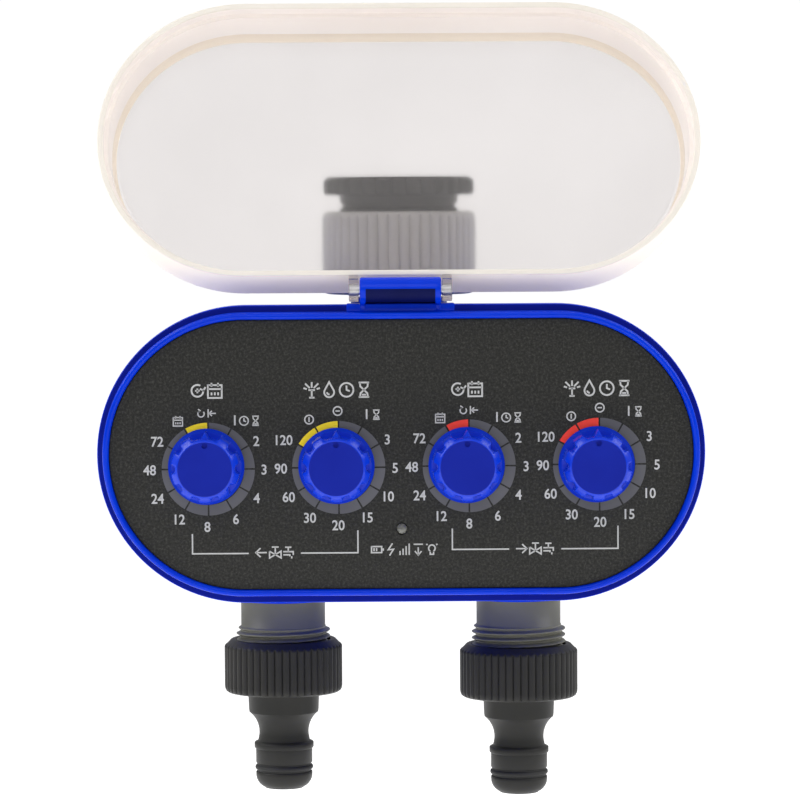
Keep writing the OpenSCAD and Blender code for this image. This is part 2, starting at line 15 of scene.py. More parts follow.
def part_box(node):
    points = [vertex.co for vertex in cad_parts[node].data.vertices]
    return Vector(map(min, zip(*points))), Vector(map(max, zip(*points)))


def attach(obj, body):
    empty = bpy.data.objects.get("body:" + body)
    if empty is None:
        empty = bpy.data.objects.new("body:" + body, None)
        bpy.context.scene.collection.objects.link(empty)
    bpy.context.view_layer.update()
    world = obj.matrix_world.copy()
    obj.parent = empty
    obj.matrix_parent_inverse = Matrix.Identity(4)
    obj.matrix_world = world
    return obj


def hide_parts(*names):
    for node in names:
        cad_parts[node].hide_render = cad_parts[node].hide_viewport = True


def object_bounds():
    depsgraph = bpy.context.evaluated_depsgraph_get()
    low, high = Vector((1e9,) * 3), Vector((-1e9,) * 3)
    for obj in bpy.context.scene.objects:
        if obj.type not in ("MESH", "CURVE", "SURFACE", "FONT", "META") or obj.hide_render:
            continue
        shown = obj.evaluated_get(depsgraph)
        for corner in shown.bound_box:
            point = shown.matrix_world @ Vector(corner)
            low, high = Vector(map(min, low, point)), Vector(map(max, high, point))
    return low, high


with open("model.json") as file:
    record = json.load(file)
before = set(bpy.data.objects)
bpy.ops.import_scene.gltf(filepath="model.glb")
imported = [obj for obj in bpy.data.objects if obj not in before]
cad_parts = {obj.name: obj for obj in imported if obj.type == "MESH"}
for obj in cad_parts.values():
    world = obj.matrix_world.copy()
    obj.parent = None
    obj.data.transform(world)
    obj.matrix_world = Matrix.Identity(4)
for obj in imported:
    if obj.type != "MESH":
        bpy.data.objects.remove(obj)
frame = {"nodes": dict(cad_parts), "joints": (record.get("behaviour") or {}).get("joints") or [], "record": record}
CAD_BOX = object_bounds()

MM = 0.001

# ---------- sizes in millimetres, from the frame where it has them ----------
# The flange, the lip and the lid's tray are drawn up to 0.6 mm larger here than in the frame.


def box_mm(node):
    low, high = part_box(node)
    return low / MM, high / MM


PANEL_LOW, PANEL_HIGH = box_mm("control_panel")
CENTRE_Z = (PANEL_LOW.z + PANEL_HIGH.z) / 2
PANEL_OUT = -PANEL_LOW.y
PANEL_BACK = -PANEL_HIGH.y
PANEL_R = (PANEL_HIGH.z - PANEL_LOW.z) / 2
LIP_EXTRA = 0.2
LIP_SPINE = (PANEL_HIGH.x - PANEL_LOW.x) / 2 - PANEL_R + LIP_EXTRA
LIP_R = PANEL_R + 1.8
LIP_W = 1.7
LIP_OUT = PANEL_OUT + 1.2
SPINE = 41.6
SEAM_SPINE = 41.0
SEAM_R = 37.7
FLANGE_R = 40.0
FLANGE_OUT = PANEL_OUT - 2.3
WALL = 2.2
HINGE_UP = FLANGE_R + 3.9
BARREL_R = 3.4
BARREL_HALF = 10.9
CHEEK_W = 1.6
PAD_HALF = 14.5
LID_SPINE = SEAM_SPINE + 0.9
LID_R = FLANGE_R
LID_UP = -0.4
LID_RIM = FLANGE_OUT + 0.3
LID_TOP = LID_RIM + 18.1
LID_STEP = 1.6
LID_WALL_T = 2.7
RIM_EDGE = 0.35
LID_JOINT = next(j for j in frame["joints"] if j["name"] == "lid_hinge")
LID_OPEN = math.radians(LID_JOINT["range_deg"][1])
KNOB_BOXES = [box_mm(f"knob_{i}") for i in (1, 2, 3, 4)]
KNOB_X = [(low.x + high.x) / 2 for low, high in KNOB_BOXES]
KNOB_UP = (KNOB_BOXES[0][0].z + KNOB_BOXES[0][1].z) / 2 - CENTRE_Z
KNOB_BACK = -KNOB_BOXES[0][1].y
KNOB_RISE = -KNOB_BOXES[0][0].y - KNOB_BACK
LED_LOW, LED_HIGH = box_mm("indicator_led")
LED_UP = (LED_LOW.z + LED_HIGH.z) / 2 - CENTRE_Z
OUTLET_X = sum(corner.x for corner in box_mm("outlet_pipe_right")) / 2
RIGHT_DROP = box_mm("outlet_adapter_left")[0].z - box_mm("outlet_adapter_right")[0].z


def facing(x, up, out):
    """A point of the facing frame as a scene point, in metres."""
    return Vector((x, -out, CENTRE_Z + up)) * MM


def open_lid(point):
    """Turns a scene point of the closed lid about the hinge to where the lid rests, open."""
    hinge = facing(0, HINGE_UP, FLANGE_OUT)
    return hinge + Matrix.Rotation(-LID_OPEN, 3, "X") @ (point - hinge)


def open_tray(point):
    """As open_lid, for the tray, whose centre hangs a little below the housing's."""
    return open_lid(point + Vector((0, 0, LID_UP * MM)))


def standing(x, drop=0.0):
    """Places turned work on an upright axis at x, with heights from the housing's centre."""
    return lambda px, py, height: facing(x + px, height - drop, -py)


# ---------- mesh helpers ----------


def new_object(name, bm):
    bmesh.ops.recalc_face_normals(bm, faces=bm.faces)
    mesh = bpy.data.meshes.new(name)
    bm.to_mesh(mesh)
    bm.free()
    piece = bpy.data.objects.new(name, mesh)
    bpy.context.scene.collection.objects.link(piece)
    return piece


def smooth(piece, sharp=32):
    piece.data.shade_smooth()
    piece.data.set_sharp_from_angle(angle=math.radians(sharp))


def apply_modifiers(piece):
    graph = bpy.context.evaluated_depsgraph_get()
    graph.update()
    mesh = bpy.data.meshes.new_from_object(piece.evaluated_get(graph))
    piece.modifiers.clear()
    piece.data = mesh


def round_edges(piece, width, segments=3):
    bevel = piece.modifiers.new("bevel", "BEVEL")
    bevel.width = width * MM
    bevel.segments = segments
    bevel.limit_method = "ANGLE"
    bevel.angle_limit = math.radians(35)
    apply_modifiers(piece)


def cut(piece, tools):
    """Cuts temporary tool objects out of a piece, and removes them."""
    for tool in tools:
        boolean = piece.modifiers.new("cut", "BOOLEAN")
        boolean.operation = "DIFFERENCE"
        boolean.solver = "EXACT"
        boolean.object = tool
        apply_modifiers(piece)
        bpy.data.objects.remove(tool)


def settle(piece, body, material, stands_for=(), sharp=32):
    """Shades a finished piece, gives it its material, and ties it to its CAD body and nodes."""
    smooth(piece, sharp)
    if not piece.data.materials:
        piece.data.materials.append(material)
    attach(piece, body)
    if stands_for:
        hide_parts(*stands_for)
    return piece


def join_rings(bm, rings, closed):
    """Quads between successive loops of vertices."""
    pairs = list(zip(rings, rings[1:]))
    if closed:
        pairs.append((rings[-1], rings[0]))
    for near, far in pairs:
        for i in range(len(near)):
            k = (i + 1) % len(near)
            bm.faces.new((near[i], near[k], far[k], far[i]))
    if not closed:
        bm.faces.new(rings[0])
        bm.faces.new(list(reversed(rings[-1])))


ARC_STEPS = 64
SIDE_STEPS = 12
RING_POINTS = 2 * (ARC_STEPS + SIDE_STEPS)


def stadium_ring(bm, r, out, half, warp):
    """Vertices of the outline at a distance r from a spine of half length half."""
    ring = []
    for side, start in ((1, -90), (-1, 90)):
        for i in range(ARC_STEPS + 1):
            a = math.radians(start + 180 * i / ARC_STEPS)
            ring.append(bm.verts.new(warp(facing(side * half + r * math.cos(a), r * math.sin(a), out))))
        for i in range(1, SIDE_STEPS):
            x = side * half * (1 - 2 * i / SIDE_STEPS)
            ring.append(bm.verts.new(warp(facing(x, side * r, out))))
    return ring


def stadium_shape(bm, outline, half, warp=lambda point: point):
    """Sweeps an outline of (distance from the spine, out[, own half length]) round a stadium."""
    rings = []
    for r, out, *own_half in outline:
        rings.append(stadium_ring(bm, r, out, own_half[0] if own_half else half, warp))
    join_rings(bm, rings, False)


def rounded(r, out, radius, start, end, steps=5):
    """Points of a rounded corner about the centre (r, out)."""
    points = []
    for i in range(steps + 1):
        a = math.radians(start + (end - start) * i / steps)
        points.append((r + radius * math.cos(a), out + radius * math.sin(a)))
    return points


def turned(bm, profile, place, steps=128, shape=lambda r, h, a: r, closed=True):
    """Revolves (radius, height) points, with the radius shaped round the axis, into a solid.

    A closed profile is the section of a tube wall, and an open one is capped at both ends."""
    rings = []
    for r, h in profile:
        ring = []
        for i in range(steps):
            a = 2 * math.pi * i / steps
            shaped = shape(r, h, a)
            ring.append(bm.verts.new(place(shaped * math.cos(a), shaped * math.sin(a), h)))
        rings.append(ring)
    join_rings(bm, rings, closed)


def extruded(bm, outline, low, high, warp=lambda point: point):
    """Extrudes an outline of (up, out) points along x."""
    rings = [[bm.verts.new(warp(facing(x, up, out))) for up, out in outline] for x in (low, high)]
    join_rings(bm, rings, False)


def bored(x, up, r, low, high):
    """A cylinder towards the viewer, as a cutting tool."""
    bm = bmesh.new()
    turned(bm, [(r, low), (r, high)], lambda px, py, h: facing(x + px, up + py, h), 48, closed=False)
    return new_object("tool", bm)


# ---------- materials ----------


def linear(red, green, blue):
    """A colour given as display values from 0 to 255."""
    channels = []
    for value in (red, green, blue):
        c = value / 255
        channels.append(c / 12.92 if c <= 0.04045 else ((c + 0.055) / 1.055) ** 2.4)
    return (*channels, 1.0)


class Surface:
    """A material under construction: a Principled shader fed by noise in object space."""

    def __init__(self, name, roughness=0.4, specular=0.5):
        self.material = bpy.data.materials.new(name)
        self.material.use_nodes = True
        self.nodes = self.material.node_tree.nodes
        self.links = self.material.node_tree.links
        self.shader = self.nodes["Principled BSDF"]
        self.shader.inputs["Roughness"].default_value = roughness
        self.shader.inputs["Specular IOR Level"].default_value = specular
        self.coords = self.nodes.new("ShaderNodeTexCoord")

    def set(self, **values):
        for key, value in values.items():
            self.shader.inputs[key.replace("_", " ")].default_value = value
        return self

    def noise(self, scale, detail=2.0, roughness=0.5):
        node = self.nodes.new("ShaderNodeTexNoise")
        node.inputs["Scale"].default_value = scale
        node.inputs["Detail"].default_value = detail
        node.inputs["Roughness"].default_value = roughness
        self.links.new(self.coords.outputs["Object"], node.inputs["Vector"])
        return node.outputs["Fac"]

    def colour(self, source, stops):
        node = self.nodes.new("ShaderNodeValToRGB")
        elements = node.color_ramp.elements
        while len(elements) < len(stops):
            elements.new(0.5)
        for element, (place, shade) in zip(elements, stops):
            element.position = place
            element.color = linear(*shade)
        self.links.new(source, node.inputs["Fac"])
        self.links.new(node.outputs["Color"], self.shader.inputs["Base Color"])
        return self

    def rough(self, source, low, high):
        node = self.nodes.new("ShaderNodeMapRange")
        node.inputs["To Min"].default_value = low
        node.inputs["To Max"].default_value = high
        self.links.new(source, node.inputs["Value"])
        self.links.new(node.outputs["Result"], self.shader.inputs["Roughness"])
        return self

    def bump(self, source, strength, distance):
        node = self.nodes.new("ShaderNodeBump")
        node.inputs["Strength"].default_value = strength
        node.inputs["Distance"].default_value = distance * MM
        self.links.new(source, node.inputs["Height"])
        self.links.new(node.outputs["Normal"], self.shader.inputs["Normal"])
        return self


def moulded(name, dark, light, low, high, grain=0.02, specular=0.5):
    """Moulded plastic: slow colour drift, uneven gloss and a fine grain."""
    s = Surface(name, specular=specular)
    s.colour(s.noise(60, 3), [(0.3, dark), (0.7, light)])
    s.rough(s.noise(180, 4), low, high)
    s.bump(s.noise(2600, 2), 0.3, grain)
    return s.material


def panel_surface():
    """Charcoal film with a fine printed speckle."""
    s = Surface("panel_film", specular=0.2)
    speckle = s.noise(1500, 4, 0.75)
    s.colour(speckle, [(0.34, (30, 31, 28)), (0.5, (42, 42, 40)), (0.68, (68, 67, 64))])
    s.rough(s.noise(900, 3), 0.5, 0.66)
    s.bump(s.noise(1800, 3, 0.7), 0.3, 0.03)
    return s.material


def frosted(name, weight, roughness, dark, light, glow=0.0):
    """Milky polypropylene that lets a blurred image through. Glow is emission that makes up for
    the light that scatters inside a real wall."""
    s = Surface(name, roughness, 0.35)
    s.set(Transmission_Weight=weight, IOR=1.3)
    s.set(Emission_Color=(1, 0.9, 0.82, 1), Emission_Strength=glow)
    s.colour(s.noise(25, 3), [(0.35, dark), (0.65, light)])
    s.bump(s.noise(420, 3), 0.15, 0.015)
    return s.material


def metal(name, dark, light, low, high):
    s = Surface(name).set(Metallic=1.0)
    s.colour(s.noise(400, 4), [(0.3, dark), (0.7, light)])
    s.rough(s.noise(900, 3), low, high)
    s.bump(s.noise(3000, 2), 0.2, 0.01)
    return s.material


def clear_lens():
    s = Surface("led_lens", 0.06, 0.8).set(Transmission_Weight=0.55, IOR=1.5)
    return s.colour(s.noise(800), [(0.3, (140, 140, 132)), (0.7, (168, 168, 160))]).material


BLUE = moulded("shell_blue", (0, 48, 202), (1, 56, 212), 0.14, 0.22, 0.008, 0.15)
# The ledge's darker navy is painted shade on the same blue plastic as the shell.
LEDGE_SHADE_BLUE = moulded("ledge_painted_shade", (4, 20, 126), (8, 26, 136), 0.5, 0.62, 0.03, 0.06)
# Near-black blue under the hinge barrel: painted shade of a deep scoop.
SCOOP_SHADE_BLUE = moulded("scoop_painted_shade", (4, 10, 62), (6, 14, 76), 0.5, 0.62, 0.03, 0.1)
# Darker blue for the knob's top, which faces the viewer: painted shade.
KNOB_SHADE_BLUE = moulded("knob_painted_shade", (6, 28, 148), (10, 34, 158), 0.4, 0.5, 0.02, 0.15)
KNOB_GLOSS = moulded("knob_gloss", (0, 48, 200), (2, 56, 212), 0.2, 0.28, 0.006, 0.35)
# The skirt is painted a little darker than the fluted side: painted shade.
KNOB_SKIRT_SHADE = moulded("knob_skirt_painted_shade", (0, 40, 176), (2, 48, 188), 0.5, 0.6, 0.02, 0.08)
PIPE_GREY = moulded("pipe_grey", (99, 99, 86), (109, 108, 96), 0.38, 0.5)
NUT_GREY = moulded("nut_grey", (180, 180, 178), (192, 192, 190), 0.4, 0.55)
FITTING_BLACK = moulded("fitting_black", (37, 37, 35), (45, 44, 41), 0.42, 0.54, 0.02, 0.25)
RUBBER = moulded("seal_rubber", (26, 26, 26), (34, 34, 33), 0.55, 0.75, 0.04)
DARK_PLASTIC = moulded("dark_plastic", (38, 39, 40), (46, 47, 48), 0.45, 0.6, 0.03)
NYLON = moulded("gear_nylon", (222, 220, 208), (234, 232, 222), 0.4, 0.55, 0.03)
BOARD = moulded("board_laminate", (16, 84, 44), (24, 98, 54), 0.3, 0.45)
CELL = moulded("cell_jacket", (30, 74, 48), (38, 88, 58), 0.25, 0.35, 0.01)
PRINT_WHITE = moulded("print_white", (184, 185, 184), (198, 198, 197), 0.5, 0.6, 0.01)
PRINT_GREY = moulded("print_grey", (82, 82, 86), (94, 94, 97), 0.5, 0.6, 0.01)
PRINT_YELLOW = moulded("print_yellow", (252, 218, 24), (255, 226, 36), 0.45, 0.55, 0.01)
PRINT_RED = moulded("print_red", (252, 56, 40), (255, 66, 50), 0.45, 0.55, 0.01)
PANEL = panel_surface()
LID = frosted("lid_frosted", 0.95, 0.19, (229, 225, 224), (233, 229, 228))
LID_WALL = frosted("lid_wall", 0.3, 0.8, (251, 245, 243), (254, 249, 247))
LID_EDGE = frosted("lid_edge", 0.2, 0.5, (238, 234, 226), (242, 238, 231))
# The tray's outer side glows with emission: painted light.
LID_SIDE_GLOW = frosted("lid_side_glow", 0.1, 0.8, (236, 228, 212), (239, 231, 216), 0.23)
LENS = clear_lens()
STEEL = metal("steel", (176, 178, 182), (204, 206, 208), 0.25, 0.42)
BRASS = metal("brass", (196, 160, 84), (216, 182, 104), 0.25, 0.4)

SLOT_MATERIALS = {
    "shell_plastic": BLUE,
    "knob_plastic": KNOB_SHADE_BLUE,
    "panel_film": PANEL,
    "lid_plastic": LID,
    "pipe_plastic": PIPE_GREY,
    "fitting_plastic": FITTING_BLACK,
    "seal_rubber": RUBBER,
    "steel": STEEL,
    "brass": BRASS,
    "board_laminate": BOARD,
    "black_plastic": DARK_PLASTIC,
    "gear_nylon": NYLON,
    "cell_jacket": CELL,
    "led_lens": LENS,
}


def dress_cad_nodes():
    """Gives every CAD node the material of its record slot."""
    for part in frame["record"]["subparts"]:
        node = frame["nodes"][part["node"]]
        node.data.materials.clear()
        node.data.materials.append(SLOT_MATERIALS[part["material_slot"]])


# ---------- housing ----------


def dial_holes():
    """Cutting tools for the four shafts and the indicator light."""
    tools = [bored(x, KNOB_UP, 3.6, 40, LIP_OUT + 2) for x in KNOB_X]
    return tools + [bored(0, LED_UP, 1.65, 40, LIP_OUT + 2)]


def collar(bm, x, low, high):
    """Front half of the shell's collar round a pipe."""
    rings = []
    profile = [(12.0, low), (13.1, low), (13.5, low + 0.4), (13.5, high), (12.0, high)]
    for r, height in profile:
        angles = [math.pi * i / 32 for i in range(33)]
        rings.append([bm.verts.new(facing(x + r * math.cos(a), height, r * math.sin(a))) for a in angles])
    for near, far in zip(rings, rings[1:] + rings[:1]):
        for i in range(32):
            bm.faces.new((near[i], near[i + 1], far[i + 1], far[i]))
    bm.faces.new([ring[0] for ring in rings])
    bm.faces.new([ring[-1] for ring in reversed(rings)])


def front_shell():
    """Skirt, flange and lip in one sweep, with the wall that carries the panel."""
    flange = FLANGE_OUT
    lip = [(r, out, LIP_SPINE) for r, out in (
        [(PANEL_R + 0.05, PANEL_BACK)]
        + rounded(LIP_R - LIP_W + 0.8, LIP_OUT - 0.8, 0.8, 180, 90)
        + rounded(LIP_R - 0.8, LIP_OUT - 0.8, 0.8, 90, 0)
        + [(LIP_R, flange + 0.2)]
    )]
    ledge = [(LIP_R + 0.25, flange - 0.05, LIP_SPINE - 0.1)]
    ledge += rounded(FLANGE_R - 0.5, flange - 0.7, 0.5, 90, 0)
    skirt = rounded(FLANGE_R - 0.6, flange - 5.2, 0.6, 0, -50, 4)
    skirt += [(38.25, flange - 7.1), (38.2, flange - 7.6)]
    seam = [(37.95, 26), (SEAM_R, 0.5), (37.4, 0), (SEAM_R - WALL, 0), (38.2 - WALL, PANEL_BACK - WALL)]
    bm = bmesh.new()
    stadium_shape(bm, lip + ledge + skirt + [(r, out, SEAM_SPINE) for r, out in seam], SPINE)
    shell = new_object("front_shell_body", bm)
    cut(shell, dial_holes())
    shell.data.materials.append(BLUE)
    shell.data.materials.append(LEDGE_SHADE_BLUE)
    # Ledge faces that face the viewer get the darker navy: painted shade.
    for face in shell.data.polygons:
        out = -face.center.y / MM
        if face.normal.y < -0.8 and abs(out - flange) < 0.9:
            face.material_index = 1
    settle(shell, "housing", BLUE, ["front_shell"])


def shell_collars():
    bm = bmesh.new()
    for x in (-OUTLET_X, OUTLET_X):
        collar(bm, x, -44.5, -34)
    collar(bm, 0, 34, 40.5)
    settle(new_object("front_shell_collars", bm), "housing", BLUE)


def hinge_barrel():
    """The barrel over the lid's pin. Its underside is painted with shade: no hollow is modelled."""
    low = -BARREL_HALF
    barrel = [(2.9, low), (3.25, low + 0.15), (BARREL_R, low + 0.5), (BARREL_R, low + CHEEK_W)]
    barrel += [(r, -x) for r, x in reversed(barrel)]
    bm = bmesh.new()
    turned(bm, barrel, lambda px, py, x: facing(x, HINGE_UP + px, FLANGE_OUT + py), 64, closed=False)
    piece = new_object("hinge_barrel", bm)
    piece.data.materials.append(BLUE)
    piece.data.materials.append(SCOOP_SHADE_BLUE)
    shade_top = (CENTRE_Z + HINGE_UP + 0.4) * MM
    shade_half = (BARREL_HALF - CHEEK_W - 0.1) * MM
    # Lower faces between the cheeks take the near-black blue: painted shade.
    for face in piece.data.polygons:
        face.material_index = int(abs(face.center.x) < shade_half and face.center.z < shade_top)
    settle(piece, "housing", BLUE)


def hinge_web():
    """The wall that carries the barrel, slightly scooped out in front and painted near-black as shade."""
    web = [(LIP_R, FLANGE_OUT - 5.5), (HINGE_UP, FLANGE_OUT - 3.3), (HINGE_UP - 0.8, FLANGE_OUT - 2.9)]
    web += [(HINGE_UP - 2.6, FLANGE_OUT - 4.2)]
    web += rounded(LIP_R + 3.4, FLANGE_OUT - 0.6, 3.8, 262, 190, 8)
    web = [(up, out) for up, out in web if up > LIP_R - 0.1]
    bm = bmesh.new()
    extruded(bm, web + [(LIP_R, FLANGE_OUT + 0.1)], 0.4 - BARREL_HALF, BARREL_HALF - 0.4)
    settle(new_object("hinge_web", bm), "housing", SCOOP_SHADE_BLUE)


def hinge_cheeks():
    """Two cheeks beside the scoop and the pad that they stand on."""
    cheek = [(LIP_R, FLANGE_OUT - 4.9), (HINGE_UP, FLANGE_OUT - 3.2), (HINGE_UP, FLANGE_OUT + 3.2)]
    cheek += [(HINGE_UP - 2.6, FLANGE_OUT + 2.1), (FLANGE_R + 0.2, FLANGE_OUT + 1.3)]
    cheek += [(FLANGE_R, FLANGE_OUT + 0.15), (LIP_R, FLANGE_OUT + 0.15)]
    bm = bmesh.new()
    extruded(bm, cheek, -BARREL_HALF, CHEEK_W - BARREL_HALF)
    extruded(bm, cheek, BARREL_HALF - CHEEK_W, BARREL_HALF)
    pad = [(LIP_R, FLANGE_OUT - 5), (FLANGE_R + 0.25, FLANGE_OUT - 5), (FLANGE_R + 0.25, FLANGE_OUT)]
    extruded(bm, pad + [(LIP_R, FLANGE_OUT + 0.1)], -PAD_HALF, PAD_HALF)
    cheeks = new_object("hinge_cheeks", bm)
    round_edges(cheeks, 0.4)
    settle(cheeks, "housing", BLUE)


def control_panel():
    bm = bmesh.new()
    outline = [(PANEL_R, PANEL_BACK)] + rounded(PANEL_R - 0.25, PANEL_OUT - 0.25, 0.25, 0, 90, 3)
    stadium_shape(bm, outline, LIP_SPINE)
    plate = new_object("panel_plate", bm)
    cut(plate, dial_holes())
    settle(plate, "housing", PANEL, ["control_panel"])


# ---------- lid ----------


def lid_tray():
    """The open tray, drawn closed and turned back about the hinge, in four surfaces."""
    inner = LID_R - LID_WALL_T
    floor_edge = [(inner - 4.0, LID_TOP - 2.2)] + rounded(inner - 3.4, LID_TOP - 5, 2.8, 90, 4)
    inner_wall = [(inner, LID_RIM + 3.8), (LID_R - LID_STEP, LID_RIM + 3.7)]
    rim = rounded(LID_R - LID_STEP + RIM_EDGE, LID_RIM + RIM_EDGE, RIM_EDGE, 180, 270, 4)
    rim += rounded(LID_R - RIM_EDGE, LID_RIM + RIM_EDGE, RIM_EDGE, 270, 360, 4)
    outer_fillet = rounded(LID_R - 3.7, LID_TOP - 2.8, 2.8, 4, 90, 8)
    outline = floor_edge + inner_wall + rim + outer_fillet
    bm = bmesh.new()
    stadium_shape(bm, outline, LID_SPINE, open_tray)
    tray = new_object("lid_tray", bm)
    for material in (LID, LID_WALL, LID_EDGE, LID_SIDE_GLOW):
        tray.data.materials.append(material)
    wall_from = len(floor_edge) - 1
    rim_from = wall_from + len(inner_wall) + 1
    side_from = rim_from + len(rim) - 1
    # The outer wall and its fillet take the glowing material: painted light.
    for face in tray.data.polygons:
        band = face.index // RING_POINTS
        if band < len(outline) - 1:
            face.material_index = sum(band >= start for start in (wall_from, rim_from, side_from))
    settle(tray, "lid", LID, ["lid"])


def lid_lugs():
    """The two ears that hold the hinge pin."""
    outline = [(LID_R - 0.8, LID_RIM), (LID_R - 0.8, LID_RIM + 7.7)]
    for i in range(25):
        a = math.radians(50 - 236 * i / 24)
        outline.append((HINGE_UP + 3.1 * math.cos(a), FLANGE_OUT + 3.1 * math.sin(a)))
    bm = bmesh.new()
    for side in (-1, 1):
        ends = sorted(side * (BARREL_HALF + gap) for gap in (0.3, 2.9))
        extruded(bm, outline, ends[0], ends[1], open_lid)
    lugs = new_object("lid_lugs", bm)
    round_edges(lugs, 0.25, 2)
    settle(lugs, "lid", LID)


# ---------- dials ----------

FLUTES = 10
FLUTE_CENTRE = 9.45
FLUTE_R = 1.5
SKIRT_TOP = 1.65
POINTER_LOW = 1.0
POINTER_TOP = KNOB_RISE - 1.2


def fluted(r, h, a):
    """Cuts round flutes into the side of a knob, above its skirt, and leaves room for its pointer."""
    if h < SKIRT_TOP:
        return r
    pitch = 2 * math.pi / FLUTES
    if abs(a - math.pi / 2) < pitch / 2:
        return min(r, FLUTE_CENTRE - FLUTE_R)
    d = (a + pitch / 2) % pitch - pitch / 2
    reach = FLUTE_R**2 - (FLUTE_CENTRE * math.sin(d)) ** 2
    if reach <= 0:
        return r
    return min(r, FLUTE_CENTRE * math.cos(d) - math.sqrt(reach))


def on_knob(x):
    """Places turned work on the axis of the knob at x, with heights from the knob's back."""
    return lambda px, py, h: facing(x + px, KNOB_UP + py, KNOB_BACK + h)


def knob_body(number, x):
    """A knob with a polished fluted side, a matt skirt painted a little darker as shade, and a matt top with a
    dimple, painted darker as shade.
    """
    top = KNOB_RISE
    profile = [(9.9, 0), (10.2, 0.2), (10.2, 0.8), (10.05, 1.05), (9.75, 1.35), (9.45, 1.55), (9.4, 1.6)]
    profile += [(9.4, 1.7), (9.25, 5), (9.15, top - 2.6), (9.05, top - 2.0), (8.85, top - 1.5)]
    profile += [(7.8, top - 0.5), (7.6, top - 0.22), (7.35, top - 0.06), (7.2, top), (7.1, top)]
    bm = bmesh.new()
    turned(bm, profile, on_knob(x), 400, fluted, closed=False)
    body = new_object(f"dial_knob_{number}", bm)
    cut(body, [bored(x, KNOB_UP + 6.3, 0.75, KNOB_BACK + top - 0.7, KNOB_BACK + top + 1)])
    for material in (KNOB_GLOSS, KNOB_SHADE_BLUE, KNOB_SKIRT_SHADE):
        body.data.materials.append(material)
    # The skirt, and the faces of the top that face the viewer, get darker blues: painted shade.
    for face in body.data.polygons:
        rise = -face.center.y / MM - KNOB_BACK
        if rise < SKIRT_TOP:
            face.material_index = 2
        elif face.normal.y < -0.95 and rise > top - 0.9:
            face.material_index = 1
    settle(body, f"knob_{number}", KNOB_GLOSS, [f"knob_{number}"], 28)


def knob_pointer(number, x):
    """The pointed tooth at the top of a knob."""
    place = on_knob(x)
    ridge = [(-1.93, 7.0), (1.93, 7.0), (0, 9.9)]
    bm = bmesh.new()
    low = [bm.verts.new(place(px, py, POINTER_LOW)) for px, py in ridge]
    high = [bm.verts.new(place(px * 0.8, py * 0.99, POINTER_TOP)) for px, py in ridge]
    join_rings(bm, [low, high], False)
    pointer = new_object(f"dial_pointer_{number}", bm)
    round_edges(pointer, 0.25, 2)
    settle(pointer, f"knob_{number}", KNOB_GLOSS)


# ---------- pipework ----------

THREAD_TOP = -51.9
THREAD_END = -66.3
THREAD_PITCH = 1.8
THREAD_ROOT = 12.0
THREAD_CREST = 13.2


def ribs(count, depth, low, high, fade=0.5):
    """Shapes turned work with rounded ribs between two heights."""

    def shape(r, h, a):
        ends = min(1.0, max(0.0, (h - low) / fade), max(0.0, (high - h) / fade))
        wave = abs(math.sin(count * a / 2)) ** 0.6
        return r + depth * ends * (wave - 1)

    return shape


def helix(r, h, a):
    """Winds a rounded right-hand thread on a pipe."""
    if not THREAD_END <= h <= THREAD_TOP:
        return r
    run_in = min(1.0, (THREAD_TOP - h) / 0.9, (h - THREAD_END) / 0.9)
    turn = (h / THREAD_PITCH - a / (2 * math.pi)) % 1.0
    height = max(0.0, 1 - abs(turn - 0.5) / 0.42)
    crest = min(1.0, 1.25 * height)
    return THREAD_ROOT + (THREAD_CREST - THREAD_ROOT) * crest * run_in


def outlet_pipe(side, x):
    rows = round((THREAD_TOP - THREAD_END) / 0.12)
    profile = [(8.5, -36), (11.85, -36), (11.85, -44), (11.85, THREAD_TOP + 0.15)]
    profile += [(11.9, THREAD_TOP - 0.12 * k) for k in range(rows + 1)]
    profile += [(THREAD_ROOT - 0.4, THREAD_END - 0.05), (8.5, THREAD_END - 0.05)]
    bm = bmesh.new()
    turned(bm, profile, standing(x), 160, helix)
    settle(new_object(f"threaded_pipe_{side}", bm), "housing", PIPE_GREY,
           [f"outlet_pipe_{side}"], 50)


def outlet_adapter(side, x, drop):
    """Ribbed nut, waisted neck and nipple with its collar, groove and rounded nose."""
    profile = [(13.35, -55.7), (14.5, -55.6), (14.8, -55.75), (15.9, -56.9), (16.3, -57.15)]
    profile += [(16.6, -57.6 - 0.4 * k) for k in range(29)]
    profile += [(16.5, -69.5), (16.2, -70.1), (15.6, -70.5), (14.8, -70.65), (10.9, -70.75), (10.2, -71.0)]
    profile += [(10.0, -71.6), (9.85, -75.4)]
    profile += rounded(14.2, -82, 7.25, 128, 186, 12)
    profile += [(7.3, -84.4), (8.2, -84.85), (8.35, -85.05), (8.35, -86.3), (8.2, -86.5), (7.95, -86.7)]
    profile += [(7.95, -90.6), (7.8, -90.8), (6.9, -90.85), (6.9, -93.15), (7.8, -93.2), (7.95, -93.4)]
    profile += rounded(4.0, -94.0, 3.95, 0, -84, 8)
    profile += [(5.4, -97.8), (5.0, -97.5), (5.0, -71.5), (11.5, -70.2), (13.35, -68.1)]
    bm = bmesh.new()
    turned(bm, profile, standing(x, drop), 48 * 12, ribs(48, 0.55, -69.9, -57.0))
    settle(new_object(f"tap_adapter_{side}", bm), "housing", FITTING_BLACK,
           [f"outlet_adapter_{side}"], 40)


def swivel_nut():
    profile = [(17.0, 64.2), (19.2, 64.5), (20.2, 64.4), (20.9, 63.9), (21.3, 63.1), (21.4, 62.4)]
    profile += [(21.4, 62.0 - 1.9 * k) for k in range(11)]
    profile += [(21.2, 42.4), (20.6, 41.7), (19.8, 41.5), (11.3, 41.5), (11.3, 46.0), (16.9, 52.0)]
    bm = bmesh.new()
    turned(bm, profile, standing(0), 44 * 12, ribs(44, 0.9, 41.6, 63.9, 1.2))
    settle(new_object("ribbed_swivel_nut", bm), "inlet_nut", NUT_GREY, ["swivel_nut"], 40)


def reducer_head(r, h, a):
    return ribs(30, 0.9, 69.1, 73.5, 0.3)(r, h, a) if r > 17 else r


